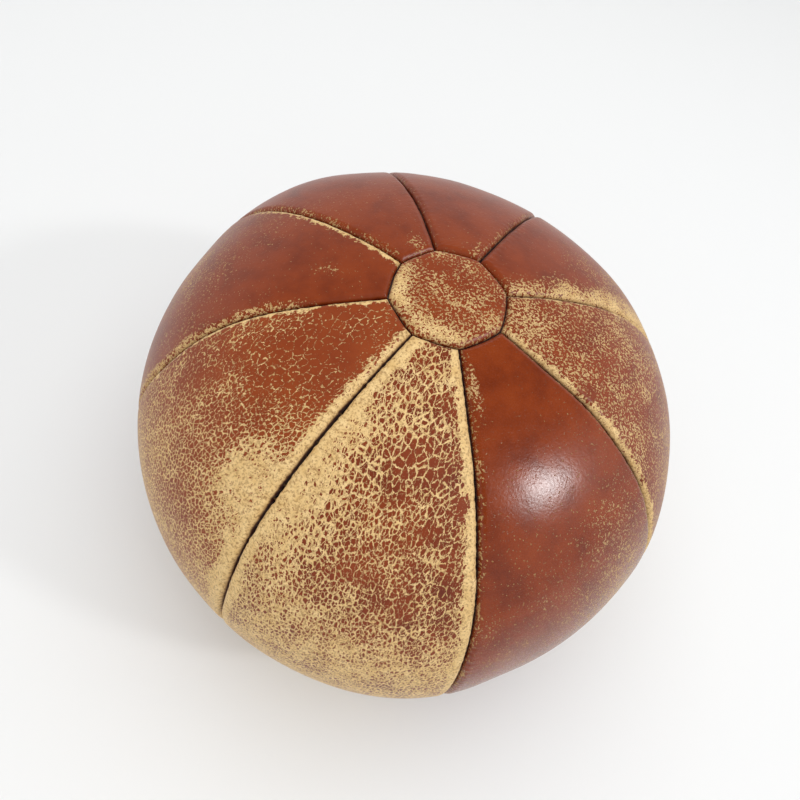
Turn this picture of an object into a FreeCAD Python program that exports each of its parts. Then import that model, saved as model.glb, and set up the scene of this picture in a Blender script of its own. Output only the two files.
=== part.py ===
import FreeCAD
import Part

"""A stuffed leather medicine ball, slightly flattened by years of use, in millimetres.

Eight leather gores and two eight-sided end caps make the cover. Every edge of a piece of
leather is folded inwards, so that two neighbours stand flange to flange inside the ball, and
waxed thread goes through both flanges. A canvas lining backs each piece between its flanges.
One seam was closed by hand, from outside, after the ball was filled, with a heavier lace.
Inside are a batt of animal hair and a hard packed core.

+Z is the axis that the gores meet on. The origin is the middle of the flat that the ball
rests on. The gores' widths differ a little, as hand-cut ones do.
"""

import math
import os

# The shape of the ball, as its half outline turned about +Z.
EQUATOR_RADIUS = 150.0
HALF_HEIGHT = 116.7  # from the equator to the top of the crown, before the ball settles
SHOULDER_RADIUS = HALF_HEIGHT * 0.95  # the outline's radius at the equator, less than the crown's
REST_FLAT_RADIUS = 45.0  # the flat that the ball has settled on
REST_BLEND_RADIUS = 62.0  # the outline's radius where that flat begins

# The cover's cut.
GORES = 8
FIRST_SEAM_DEG = 22.5
SEAM_SHIFTS_DEG = (3.1, 4.4, 4.7, -0.2, 0.2, -0.1, 0.8, 3.0)  # how far each seam is off an even spacing
CAP_CORNER_RADIUS = 28.4  # from the axis to a corner of an end cap

# The leather and its folded edges.
LEATHER = 2.5
INNER_FOLD_RADIUS = 0.5  # inside radius where an edge folds in
FOLD_RADIUS = LEATHER + INNER_FOLD_RADIUS
CORNER_RADIUS = FOLD_RADIUS + 0.5  # in plan, so that the fold runs smoothly round a corner
STITCH_DEPTH = 3.0  # from the leather's inner face to the line of holes
STITCH_EDGE = 3.5  # from the line of holes to the folded edge's end
FLANGE_DEPTH = STITCH_DEPTH + STITCH_EDGE  # how far a folded edge stands in from that face
SEAM_GAP = 0.2  # between two neighbours' flanges
FOLD_SHARES = (1.0, 0.98, 1.02, 0.95, 1.05, 0.9, 1.1, 0.85)  # a fold takes the first of these that can be made

# The sewing.
THREAD_RADIUS = 0.45
STITCH_PITCH = 7.5
LACE_RADIUS = 0.8
LACE_PITCH = 10.0
LACE_CLEARANCE = 0.4  # from the lace to the inside of the fold
LACE_DEPTH = INNER_FOLD_RADIUS + LACE_RADIUS + LACE_CLEARANCE  # nearer the outside than thread
HOLE_CLEARANCE = 0.05
STITCH_SPACE = 0.3  # between the ends of two stitches in a row
STITCH_CORNER_MARGIN = 4.0  # no hole is nearer a corner of the cover than this
THREAD_LIFT = 0.05  # between a stitch and the flange that it lies on

# The opening that the ball was filled through.
LACED_SEAM = 2
OPENING_TOP = -8.0  # the opening's ends, along Z from the equator
OPENING_BOTTOM = -88.0

# The lining and the filling.
LINING = 0.8
LAYER_CLEARANCE = 0.1
LINING_EDGE_SPACE = 0.6  # from a lining's edge to the stitches beside it
CHANNEL_SPACE = 0.4  # round the flanges, in the hair
HAIR_BATT = 48.0

FULL_TURN_DEG = 360.0
UP = FreeCAD.Vector(0, 0, 1)


# ---- The half outline and its offsets -------------------------------------------------------

def outline_centres():
    """Where the outline's arcs are centred, from the driving sizes.

    The shoulder arc and the crown arc are tangent, so both centres and the point where the arcs
    meet lie on one line. The blend is tangent to the crown's mirror image and to the flat.
    """
    spread = EQUATOR_RADIUS - SHOULDER_RADIUS
    share = (HALF_HEIGHT - SHOULDER_RADIUS) / spread
    meet = math.pi / 2 - 2 * math.atan(share)
    crown_radius = spread / math.cos(meet) + SHOULDER_RADIUS
    drop = spread * math.tan(meet)
    run = crown_radius - REST_BLEND_RADIUS
    lower_centre = REST_BLEND_RADIUS + math.sqrt(run ** 2 - REST_FLAT_RADIUS ** 2)
    equator = lower_centre - drop
    blend_turn = math.asin(REST_FLAT_RADIUS / run)
    return {
        "equator": equator,
        "meet": meet,
        "spread": spread,
        "crown_radius": crown_radius,
        "upper_centre": equator - drop,
        "lower_centre": lower_centre,
        "blend_turn": blend_turn,
    }


CENTRES = outline_centres()


def outline_arcs(depth):
    """The outline's arcs at a depth below the surface, from the top down.

    Each is (centre's radius, centre's height, arc's radius, first angle, last angle), with the
    angles measured up from the horizontal.
    """
    meet = CENTRES["meet"]
    crown = CENTRES["crown_radius"] - depth
    low = CENTRES["blend_turn"] - math.pi / 2
    return [
        (0.0, CENTRES["upper_centre"], crown, math.pi / 2, meet),
        (CENTRES["spread"], CENTRES["equator"], SHOULDER_RADIUS - depth, meet, -meet),
        (0.0, CENTRES["lower_centre"], crown, -meet, low),
        (REST_FLAT_RADIUS, REST_BLEND_RADIUS, REST_BLEND_RADIUS - depth, low, -math.pi / 2),
    ]


def arc_point(arc, angle):
    """The point of an outline arc at an angle, as (radius, height)."""
    return arc[0] + arc[2] * math.cos(angle), arc[1] + arc[2] * math.sin(angle)


def ball(depth):
    """The whole ball's solid, with its surface at a depth below the leather's outer face."""
    edges = []
    for arc in outline_arcs(depth):
        first, last = arc[3], arc[4]
        points = [arc_point(arc, angle) for angle in (first, (first + last) / 2, last)]
        if first == math.pi / 2:
            points[0] = (0.0, points[0][1])
        edges.append(Part.Arc(*[FreeCAD.Vector(r, 0, z) for r, z in points]).toShape())
    top = edges[0].Vertexes[0].Point
    rim = FreeCAD.Vector(REST_FLAT_RADIUS, 0, depth)
    foot = FreeCAD.Vector(0, 0, depth)
    edges.append(Part.LineSegment(rim, foot).toShape())
    edges.append(Part.LineSegment(foot, top).toShape())
    face = Part.Face(Part.Wire(Part.__sortEdges__(edges)))
    return face.revolve(FreeCAD.Vector(), UP, FULL_TURN_DEG)


def stock(depth, part):
    """The solid that a piece's prism is cut from.

    The top cap lies on the axis, where a turned solid has its pole, so it is cut from a sphere
    of the crown's radius that has its poles at its sides.
    """
    if part != "top":
        return ball(depth)
    centre = FreeCAD.Vector(0, 0, CENTRES["upper_centre"])
    return Part.makeSphere(CENTRES["crown_radius"] - depth, centre, FreeCAD.Vector(1, 0, 0))


def outline_step(depth, distance, start):
    """The point and the downward direction on the outline after a distance from radius start.

    Returns (radius, height, direction's radius, direction's height), and None past the point
    where the outline comes back in to radius start at the bottom.
    """
    arcs = outline_arcs(depth)
    left = distance + arcs[0][2] * math.asin(start / arcs[0][2])
    for arc in arcs:
        length = arc[2] * (arc[3] - arc[4])
        if left <= length:
            angle = arc[3] - left / arc[2]
            radius, height = arc_point(arc, angle)
            return radius, height, math.sin(angle), -math.cos(angle)
        left -= length
    radius = REST_FLAT_RADIUS - left
    if radius < start:
        return None
    return radius, depth, -1.0, 0.0


def outline_length(depth, start):
    """The outline's length from radius start at the top to radius start at the bottom."""
    arcs = outline_arcs(depth)
    whole = sum(arc[2] * (arc[3] - arc[4]) for arc in arcs)
    return whole - arcs[0][2] * math.asin(start / arcs[0][2]) + REST_FLAT_RADIUS - start


# ---- The plan: seams as lines through the axis, caps as eight-sided outlines ----------------

def seam_angle(number):
    """A seam's direction in plan, in radians. Seam n lies between gores n - 1 and n."""
    turns, place = divmod(number, GORES)
    even = FIRST_SEAM_DEG + place * FULL_TURN_DEG / GORES
    return math.radians(even + SEAM_SHIFTS_DEG[place] + turns * FULL_TURN_DEG)


def direction(angle):
    """The unit vector in plan at an angle."""
    return FreeCAD.Vector(math.cos(angle), math.sin(angle), 0)


def cap_corner(number):
    """The corner of the end caps that a seam runs into."""
    return direction(seam_angle(number)) * CAP_CORNER_RADIUS


def outward(first, last):
    """The unit vector in plan that points away from the axis, square to the line first-last."""
    along = (last - first).normalize()
    return FreeCAD.Vector(along.y, -along.x, 0)


def crossing(point, along, other_point, other_along):
    """Where two lines in plan cross."""
    turn = along.x * other_along.y - along.y * other_along.x
    gap = other_point - point
    reach = (gap.x * other_along.y - gap.y * other_along.x) / turn
    return point + along * reach


def corner_round(inset):
    """The radius of a rounded corner in plan, on an outline moved in by inset."""
    return max(CORNER_RADIUS + SEAM_GAP / 2 - inset, 0)


def gore_plan(number, inset):
    """A gore's outline in plan, with its three edges moved in by inset.

    It is four (corner, corner's radius) pairs. The last two corners are outside the ball.
    """
    first, last = direction(seam_angle(number)), direction(seam_angle(number + 1))
    inner, other = cap_corner(number), cap_corner(number + 1)
    away = outward(inner, other)
    first_origin = FreeCAD.Vector(-first.y, first.x, 0) * inset
    last_origin = FreeCAD.Vector(last.y, -last.x, 0) * inset
    edge_point = inner + away * inset
    edge_along = other - inner
    far = 2 * EQUATOR_RADIUS
    near = corner_round(inset)
    return [
        (crossing(last_origin, last, edge_point, edge_along), near),
        (crossing(first_origin, first, edge_point, edge_along), near),
        (first_origin + first * far, 0),
        (last_origin + last * far, 0),
    ]


def cap_plan(inset):
    """The end caps' outline in plan, with its edges moved in by inset, as (corner, radius) pairs."""
    corners = []
    for number in range(GORES):
        before, here, after = (cap_corner(number + step) for step in (-1, 0, 1))
        left, right = here - before, after - here
        corner = crossing(
            here - outward(before, here) * inset,
            left,
            here - outward(here, after) * inset,
            right,
        )
        corners.append((corner, corner_round(inset)))
    return corners


def prism(plan, low, high):
    """An upright prism on a plan, from height low to height high."""
    edges = []
    ends = []
    for number, (corner, radius) in enumerate(plan):
        before = (plan[number - 1][0] - corner).normalize()
        after = (plan[(number + 1) % len(plan)][0] - corner).normalize()
        half = before.getAngle(after) / 2
        reach = radius / math.tan(half)
        start, stop = corner + before * reach, corner + after * reach
        ends.append((start, stop))
        if radius > 0:
            middle = corner + (before + after).normalize() * radius * (1 / math.sin(half) - 1)
            edges.append(Part.Arc(start, middle, stop).toShape())
    for number, (_, stop) in enumerate(ends):
        start = ends[(number + 1) % len(ends)][0]
        edges.append(Part.LineSegment(stop, start).toShape())
    face = Part.Face(Part.Wire(Part.__sortEdges__(edges)))
    face.translate(UP * low)
    return face.extrude(UP * (high - low))


def span(part):
    """The heights that a piece's prism runs between: all of the ball, its top or its bottom."""
    low, high = -REST_BLEND_RADIUS, 2 * CENTRES["equator"] + HALF_HEIGHT
    if part == "top":
        return CENTRES["equator"], high
    if part == "bottom":
        return low, CENTRES["equator"]
    return low, high


# ---- Leather -------------------------------------------------------------------------------

def folded(solid, radius):
    """The solid with a rounded edge wherever its curved skin meets an upright side."""
    edges = []
    for edge in solid.Edges:
        faces = solid.ancestorsOfType(edge, Part.Face)
        sides = [is_side(face) for face in faces]
        if len(faces) == 2 and sides.count(True) == 1 and not is_cut_end(edge):
            edges.append(edge)
    for share in FOLD_SHARES:
        try:
            made = solid.makeFillet(radius * share, edges)
        except Part.OCCError:
            continue
        if made.isValid():
            return made
    raise ValueError("no fold radius near the stated one can be made")


def is_side(face):
    """Whether a face is one of the upright sides that a prism gave the solid."""
    side = face.Surface
    if isinstance(side, Part.Plane):
        return abs(side.Axis.z) < 0.5
    return isinstance(side, Part.Cylinder)


def is_cut_end(edge):
    """Whether an edge lies in the equator's plane, where a cap's prism ends inside the ball."""
    box = edge.BoundBox
    middle = CENTRES["equator"]
    return abs(box.ZMin - middle) < LEATHER and abs(box.ZMax - middle) < LEATHER


def leather_piece(plan, part, holes):
    """One piece of leather: its skin, with a flange folded in along every edge."""
    low, high = span(part)
    half_gap = SEAM_GAP / 2
    outer = stock(0, part).common(prism(plan(half_gap), low, high))
    inner = stock(LEATHER, part).common(prism(plan(half_gap + LEATHER), low, high))
    outer = folded(outer, FOLD_RADIUS)
    inner = folded(inner, FOLD_RADIUS - LEATHER)
    piece = outer.cut([inner, stock(LEATHER + FLANGE_DEPTH, part)])
    return piece.cut(holes) if holes else piece


def lining_piece(plan, part):
    """The canvas behind one piece of leather, between its flanges."""
    low, high = span(part)
    depth = LEATHER + LAYER_CLEARANCE
    edge = sewing_reach() + LINING_EDGE_SPACE
    sheet = stock(depth, part).cut(stock(depth + LINING, part))
    return sheet.common(prism(plan(edge), low, high))


# ---- Sewing --------------------------------------------------------------------------------

def stitch_reach(radius):
    """How far from the seam's middle plane a stitch of that thread radius reaches."""
    return SEAM_GAP / 2 + LEATHER + THREAD_LIFT + 2 * radius


def sewing_reach():
    """How far from the seam's middle plane any stitch reaches."""
    return stitch_reach(max(THREAD_RADIUS, LACE_RADIUS))


def stitch(radius, pitch):
    """One stitch about the origin: through both flanges along X, then along Z on each side."""
    side = stitch_reach(radius) - radius
    half = (pitch - STITCH_SPACE) / 2
    across = Part.makeCylinder(
        radius * 0.98, 2 * side, FreeCAD.Vector(-side, 0, 0), FreeCAD.Vector(1, 0, 0)
    )
    runs = []
    for place in (-side, side):
        runs.append(Part.makeCylinder(radius, 2 * half, FreeCAD.Vector(place, 0, -half), UP))
    return across.fuse(runs)


def hole(radius, reach):
    """The hole that a stitch needs, about the origin, along X."""
    start = FreeCAD.Vector(-reach, 0, 0)
    return Part.makeCylinder(radius + HOLE_CLEARANCE, 2 * reach, start, FreeCAD.Vector(1, 0, 0))


def placed(shape, point, across, along):
    """A copy of shape at point, with its X turned to across and its Z turned to along."""
    third = along.cross(across)
    matrix = FreeCAD.Matrix(
        across.x, third.x, along.x, point.x,
        across.y, third.y, along.y, point.y,
        across.z, third.z, along.z, point.z,
        0, 0, 0, 1,
    )
    return shape.transformed(matrix, copy=True)


def evenly(length, pitch):
    """Distances of stitches along a length, at about the pitch, with equal space at its ends."""
    count = max(1, round(length / pitch))
    return [(number + 0.5) * length / count for number in range(count)]


def in_opening(seam, height):
    """Whether a place on a seam is in the opening that the lace closes."""
    rise = height - CENTRES["equator"]
    return seam == LACED_SEAM and OPENING_BOTTOM < rise < OPENING_TOP


def seam_places(seam, depth, pitch, laced):
    """(point, across, along) of every stitch of a seam between two gores."""
    start = CAP_CORNER_RADIUS + STITCH_CORNER_MARGIN
    angle = seam_angle(seam)
    radial, across = direction(angle), direction(angle + math.pi / 2)
    places = []
    for distance in evenly(outline_length(depth, start), pitch):
        radius, height, run_r, run_z = outline_step(depth, distance, start)
        if in_opening(seam, height) == laced:
            along = radial * run_r + UP * run_z
            places.append((radial * radius + UP * height, across, along))
    return places


def cap_places(part, depth, pitch):
    """(point, across, along) of every stitch round an end cap."""
    places = []
    for number in range(GORES):
        first, last = cap_corner(number), cap_corner(number + 1)
        along = (last - first).normalize()
        length = (last - first).Length - 2 * STITCH_CORNER_MARGIN
        for distance in evenly(length, pitch):
            point = first + along * (STITCH_CORNER_MARGIN + distance)
            height = depth
            if part == "top":
                crown = CENTRES["crown_radius"] - depth
                height = CENTRES["upper_centre"] + math.sqrt(crown ** 2 - point.Length ** 2)
            places.append((point + UP * height, outward(first, last), along))
    return places


def all_stitches():
    """Every row of stitches: name -> (thread radius, pitch, places)."""
    depth = LEATHER + STITCH_DEPTH
    rows = {}
    for seam in range(GORES):
        places = seam_places(seam, depth, STITCH_PITCH, False)
        rows[f"seam_thread_{seam + 1}"] = (THREAD_RADIUS, STITCH_PITCH, places)
    for part in ("top", "bottom"):
        places = cap_places(part, depth, STITCH_PITCH)
        rows[f"cap_thread_{part}"] = (THREAD_RADIUS, STITCH_PITCH, places)
    places = seam_places(LACED_SEAM, LEATHER + LACE_DEPTH, LACE_PITCH, True)
    rows["closing_lace"] = (LACE_RADIUS, LACE_PITCH, places)
    return rows


def thread(radius, pitch, places):
    """A row of stitches, each a solid of its own."""
    one = stitch(radius, pitch)
    return Part.makeCompound([placed(one, *place) for place in places])


def holes_for(rows, names):
    """The holes that these rows of stitches need, as separate solids."""
    holes = []
    for name in names:
        radius, _, places = rows[name]
        one = hole(radius, stitch_reach(radius))
        holes += [placed(one, *place) for place in places]
    return holes


# ---- Filling -------------------------------------------------------------------------------

def hair_filling():
    """The hair: it fills the lining, leaves a channel round every flange and holds the core."""
    depth = LEATHER + 2 * LAYER_CLEARANCE + LINING
    reach = sewing_reach() + CHANNEL_SPACE
    channel = LEATHER + FLANGE_DEPTH + CHANNEL_SPACE
    skin = ball(depth - LAYER_CLEARANCE).cut(ball(channel))
    pads = [prism(gore_plan(number, reach), *span("all")) for number in range(GORES)]
    pads.append(prism(cap_plan(reach), *span("all")))
    channels = skin.cut(pads)
    return ball(depth).cut([channels, ball(HAIR_BATT)])


def packed_core():
    """The hard core in the middle of the hair."""
    return ball(HAIR_BATT + LAYER_CLEARANCE)


# ---- The whole ball ------------------------------------------------------------------------

def build():
    """Every node's shape by name."""
    rows = all_stitches()
    nodes = {name: thread(*row) for name, row in rows.items()}
    for number in range(GORES):
        beside = [number, (number + 1) % GORES]
        names = [f"seam_thread_{seam + 1}" for seam in beside]
        names += ["cap_thread_top", "cap_thread_bottom"]
        if LACED_SEAM in beside:
            names.append("closing_lace")
        holes = holes_for(rows, names)

        def plan(inset, number=number):
            return gore_plan(number, inset)

        nodes[f"leather_gore_{number + 1}"] = leather_piece(plan, "all", holes)
        nodes[f"canvas_lining_{number + 1}"] = lining_piece(plan, "all")
    for part in ("top", "bottom"):
        holes = holes_for(rows, [f"cap_thread_{part}"])
        nodes[f"leather_cap_{part}"] = leather_piece(cap_plan, part, holes)
        nodes[f"canvas_cap_lining_{part}"] = lining_piece(cap_plan, part)
    nodes["hair_filling"] = hair_filling()
    nodes["packed_core"] = packed_core()
    return nodes


def main():
    os.makedirs("parts", exist_ok=True)
    for name, shape in build().items():
        solids = shape.Solids
        valid = shape.isValid()
        volume = sum(solid.Volume for solid in solids)
        print(f"{name}: {len(solids)} solids, {volume / 1000:.1f} cm3, valid {valid}")
        shape.exportStep(f"parts/{name}.step")


main()
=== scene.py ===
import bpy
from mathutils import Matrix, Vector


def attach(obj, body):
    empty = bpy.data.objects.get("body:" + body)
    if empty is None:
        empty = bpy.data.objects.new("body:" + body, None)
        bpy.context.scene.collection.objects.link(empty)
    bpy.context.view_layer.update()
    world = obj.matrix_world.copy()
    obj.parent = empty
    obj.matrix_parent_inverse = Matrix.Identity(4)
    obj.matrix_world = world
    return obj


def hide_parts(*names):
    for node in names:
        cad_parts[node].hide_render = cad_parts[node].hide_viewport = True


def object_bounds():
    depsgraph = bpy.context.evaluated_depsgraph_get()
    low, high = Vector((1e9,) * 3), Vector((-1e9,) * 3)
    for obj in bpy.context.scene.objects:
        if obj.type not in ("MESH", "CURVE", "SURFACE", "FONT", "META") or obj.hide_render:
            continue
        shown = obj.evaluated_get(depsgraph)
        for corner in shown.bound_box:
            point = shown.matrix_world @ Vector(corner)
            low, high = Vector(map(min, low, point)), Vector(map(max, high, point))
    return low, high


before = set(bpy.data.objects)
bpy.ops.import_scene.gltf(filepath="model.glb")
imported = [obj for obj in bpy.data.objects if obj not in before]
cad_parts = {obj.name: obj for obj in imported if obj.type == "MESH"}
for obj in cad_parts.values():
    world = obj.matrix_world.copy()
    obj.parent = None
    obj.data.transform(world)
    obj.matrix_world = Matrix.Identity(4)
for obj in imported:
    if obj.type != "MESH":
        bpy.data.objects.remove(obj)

"""An old stuffed leather medicine ball: eight gores and two eight-sided caps, seams turned in.

The hidden layers stay as the CAD made them and get their own finishes. The hide of each gore
and cap is made here as a fine surface: a place on the ball's outline, a fold along every
seam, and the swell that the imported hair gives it, which comes from a cloth simulation. How
worn the hide is goes onto the surface as numbers, and one finish turns them into colour.
"""

import logging
import math
from dataclasses import dataclass, field, replace
from enum import Enum
from functools import cached_property

import bpy
import numpy as np
from mathutils import Matrix, Vector

Array = np.ndarray
Tree = bpy.types.NodeTree
Socket = bpy.types.NodeSocket
Piece = bpy.types.Object
MM = 0.001
LOG = logging.getLogger("ball")
CAD_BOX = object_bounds()


# ---- Small tools ----------------------------------------------------------------------------

def ease(low: float, high: float, values: Array) -> Array:
    """Smooth step: 0 up to low, 1 from high, with a cubic run between them."""
    part = np.clip((values - low) / (high - low), 0.0, 1.0)
    return part * part * (3.0 - 2.0 * part)


def ripple(points: Array, wavelength: float, seed: int, waves: int = 26) -> Array:
    """Smooth seeded unevenness: a sum of plane waves in random directions, about -1 to 1.

    Args:
        points: Places, with x, y and z in the last axis.
        wavelength: The middle of the waves' lengths, in metres.
        seed: Which unevenness.
        waves: How many waves are summed.

    Returns:
        One number for each place.
    """
    rng = np.random.default_rng(seed)
    ways = rng.normal(size=(waves, 3))
    ways /= np.linalg.norm(ways, axis=1)[:, None]
    lengths = wavelength * rng.uniform(0.65, 1.6, waves)
    phases = rng.uniform(0.0, 2.0 * math.pi, waves)
    total = np.zeros(points.shape[:-1])
    for way, length, phase in zip(ways, lengths, phases):
        total += np.cos(points @ way * (2.0 * math.pi / length) + phase)
    return total / math.sqrt(waves * 0.5) * 0.5


def blurred_lookup(table: Array, down: Array, across: Array) -> Array:
    """A coarse table read smoothly: cubic B-spline weights of the 4 by 4 nearest entries.

    Args:
        table: Numbers on a coarse grid, rows by columns.
        down: Places down the rows, 0 to 1.
        across: Places across the columns, 0 to 1.

    Returns:
        One number for each place.
    """
    rows, columns = table.shape
    padded = np.pad(table, 2, mode="edge")

    def weights(part: Array) -> list[Array]:
        """The weights of the 4 entries round a place that is part of the way between two.

        Args:
            part: The part of the way, 0 to 1, for each place.

        Returns:
            Four arrays of weights, which add up to 1.
        """
        return [
            (1 - part) ** 3 / 6,
            (3 * part ** 3 - 6 * part ** 2 + 4) / 6,
            (-3 * part ** 3 + 3 * part ** 2 + 3 * part + 1) / 6,
            part ** 3 / 6,
        ]

    row = np.clip(down, 0, 1) * (rows - 1)
    column = np.clip(across, 0, 1) * (columns - 1)
    row_0 = np.minimum(row.astype(int), rows - 2)
    column_0 = np.minimum(column.astype(int), columns - 2)
    row_weights = weights(row - row_0)
    column_weights = weights(column - column_0)
    total = np.zeros(np.broadcast(down, across).shape)
    for i, row_weight in enumerate(row_weights):
        for j, column_weight in enumerate(column_weights):
            total += row_weight * column_weight * padded[row_0 + i + 1, column_0 + j + 1]
    return total


def linear(code: str) -> tuple[float, float, float, float]:
    """An sRGB hex colour as the linear colour that Blender's sockets take.

    Args:
        code: A colour such as #aabbcc.

    Returns:
        Red, green, blue and 1.
    """
    channels = [int(code[i:i + 2], 16) / 255 for i in (1, 3, 5)]
    made = [c / 12.92 if c <= 0.04045 else ((c + 0.055) / 1.055) ** 2.4 for c in channels]
    return made[0], made[1], made[2], 1.0


def add(tree: Tree, kind: str, inputs: dict | None = None, **settings: str) -> bpy.types.Node:
    """Add a node with its settings and its links.

    Args:
        tree: The node tree.
        kind: The shader node's type.
        inputs: Its sockets by name or number: a value, an output, or a node for its first output.
        settings: Its properties by name.

    Returns:
        The new node.
    """
    node = tree.nodes.new(f"ShaderNode{kind}")
    for name, value in settings.items():
        setattr(node, name, value)
    for socket, source in (inputs or {}).items():
        if isinstance(source, bpy.types.Node):
            source = source.outputs[0]
        if isinstance(source, Socket):
            tree.links.new(source, node.inputs[socket])
        else:
            node.inputs[socket].default_value = source
    return node


def new_material(name: str) -> tuple[bpy.types.Material, Tree]:
    """An empty node material and its tree.

    Args:
        name: The material's name.

    Returns:
        The material and its node tree.
    """
    material = bpy.data.materials.new(name)
    material.use_nodes = True
    material.node_tree.nodes.clear()
    return material, material.node_tree


def node_points(name: str) -> Array:
    """The vertices of a CAD node, as rows of x, y and z.

    Args:
        name: The node's name.

    Returns:
        One row for each vertex.
    """
    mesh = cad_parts[name].data
    flat = np.empty(len(mesh.vertices) * 3)
    mesh.vertices.foreach_get("co", flat)
    return flat.reshape(-1, 3)


def surface(name: str, points: Array, faces: Array, marks: dict[str, Array]) -> Piece:
    """Make a smooth mesh object of points and faces, with a number per point for each mark.

    Args:
        name: The object's name.
        points: Rows of x, y and z.
        faces: Rows of 4 point numbers. A triangle repeats its last one.
        marks: Attribute name to one number, or rows of three, for each point.

    Returns:
        The object, linked to the scene.
    """
    corners = np.where(faces[:, 3] == faces[:, 2], 3, 4)
    keep = np.ones(faces.shape, dtype=bool)
    keep[corners == 3, 3] = False
    mesh = bpy.data.meshes.new(name)
    mesh.vertices.add(len(points))
    mesh.vertices.foreach_set("co", points.astype(np.float32).ravel())
    mesh.loops.add(int(corners.sum()))
    mesh.loops.foreach_set("vertex_index", faces[keep].astype(np.int32))
    mesh.polygons.add(len(faces))
    starts = np.concatenate(([0], np.cumsum(corners)[:-1])).astype(np.int32)
    mesh.polygons.foreach_set("loop_start", starts)
    mesh.polygons.foreach_set("use_smooth", np.ones(len(faces), dtype=bool))
    for mark, numbers in marks.items():
        single = numbers.ndim == 1
        layer = mesh.attributes.new(mark, "FLOAT" if single else "FLOAT_VECTOR", "POINT")
        layer.data.foreach_set("value" if single else "vector", numbers.astype(np.float32).ravel())
    mesh.update(calc_edges=True)
    mesh.validate()
    made = bpy.data.objects.new(name, mesh)
    bpy.context.scene.collection.objects.link(made)
    return made


def grid_faces(rows: int, columns: int, start: int = 0, closed: bool = False) -> Array:
    """Faces of a grid of points that runs row by row, as seen from outside with row 0 on top.

    Args:
        rows: Rows of points.
        columns: Points in a row.
        start: The first point's number.
        closed: Whether the last column joins the first.

    Returns:
        Rows of 4 point numbers.
    """
    numbers = start + np.arange(rows * columns).reshape(rows, columns)
    if closed:
        numbers = np.concatenate((numbers, numbers[:, :1]), axis=1)
    quads = np.stack((numbers[:-1, :-1], numbers[1:, :-1], numbers[1:, 1:], numbers[:-1, 1:]), axis=-1)
    return quads.reshape(-1, 4)


# ---- The ball's outline ---------------------------------------------------------------------

@dataclass(frozen=True)
class Outline:
    """The ball's half outline, turned about +Z: crown, shoulder, lower crown, blend and flat.

    The shoulder's arc is tangent to both crowns' arcs, which are centred on the axis. The
    blend is tangent to the lower crown and to the flat that the ball rests on.
    """

    equator_radius: float
    top: float
    half_height: float = 116.7 * MM
    shoulder_radius: float = 110.87 * MM
    flat_radius: float = 45.0 * MM
    blend_radius: float = 62.0 * MM
    samples: int = 1500

    @cached_property
    def table(self) -> Array:
        """Rows of distance from the pole, radius, height, and the normal's radius and height.

        Returns:
            One row for each sample.
        """
        spread = self.equator_radius - self.shoulder_radius
        share = (self.half_height - self.shoulder_radius) / spread
        meet = math.pi / 2 - 2 * math.atan(share)
        crown = spread / math.cos(meet) + self.shoulder_radius
        drop = spread * math.tan(meet)
        equator = self.equator_height
        run = crown - self.blend_radius
        low_centre = self.blend_radius + math.sqrt(run ** 2 - self.flat_radius ** 2)
        low = math.asin(self.flat_radius / run) - math.pi / 2
        arcs = (
            (0.0, equator - drop, crown, math.pi / 2, meet),
            (spread, equator, self.shoulder_radius, meet, -meet),
            (0.0, low_centre, crown, -meet, low),
            (self.flat_radius, self.blend_radius, self.blend_radius, low, -math.pi / 2),
        )
        parts = []
        start = 0.0
        for centre_r, centre_z, radius, first, last in arcs:
            angle = np.linspace(first, last, self.samples)
            part = np.stack((
                start + radius * (first - angle),
                centre_r + radius * np.cos(angle),
                centre_z + radius * np.sin(angle),
                np.cos(angle),
                np.sin(angle),
            ), axis=1)
            start = part[-1, 0]
            parts.append(part)
        parts.append(np.array([[start + self.flat_radius, 0.0, 0.0, 0.0, -1.0]]))
        return np.concatenate(parts)

    @property
    def equator_height(self) -> float:
        """The height of the widest place."""
        return self.top - self.half_height

    @property
    def length(self) -> float:
        """The outline's length from pole to pole."""
        return float(self.table[-1, 0])

    def at(self, distance: Array) -> tuple[Array, Array, Array, Array]:
        """Radius, height and the outward normal's two parts at distances from the top pole.

        Args:
            distance: Distances from the top pole.

        Returns:
            Four arrays of the distances' shape.
        """
        steps = self.table[:, 0]
        found = [np.interp(distance, steps, self.table[:, i]) for i in (1, 2, 3, 4)]
        return found[0], found[1], found[2], found[3]

    def down_to(self, radius: Array) -> Array:
        """Distance from the top pole at which the crown reaches a radius."""
        crown = slice(0, self.samples)
        return np.interp(radius, self.table[crown, 1], self.table[crown, 0])

    def place(self, distance: Array, longitude: Array, lift: Array) -> Array:
        """Points at distances and longitudes, lifted along the normal.

        Args:
            distance: Distances from the top pole.
            longitude: Longitudes in radians.
            lift: How far each point is raised along the normal.

        Returns:
            Points, with x, y and z in the last axis.
        """
        radius, height, normal_r, normal_z = self.at(distance)
        reach = radius + normal_r * lift
        return np.stack((
            reach * np.cos(longitude),
            reach * np.sin(longitude),
            height + normal_z * lift,
        ), axis=-1)


# ---- Seams and folded edges -----------------------------------------------------------------

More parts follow.
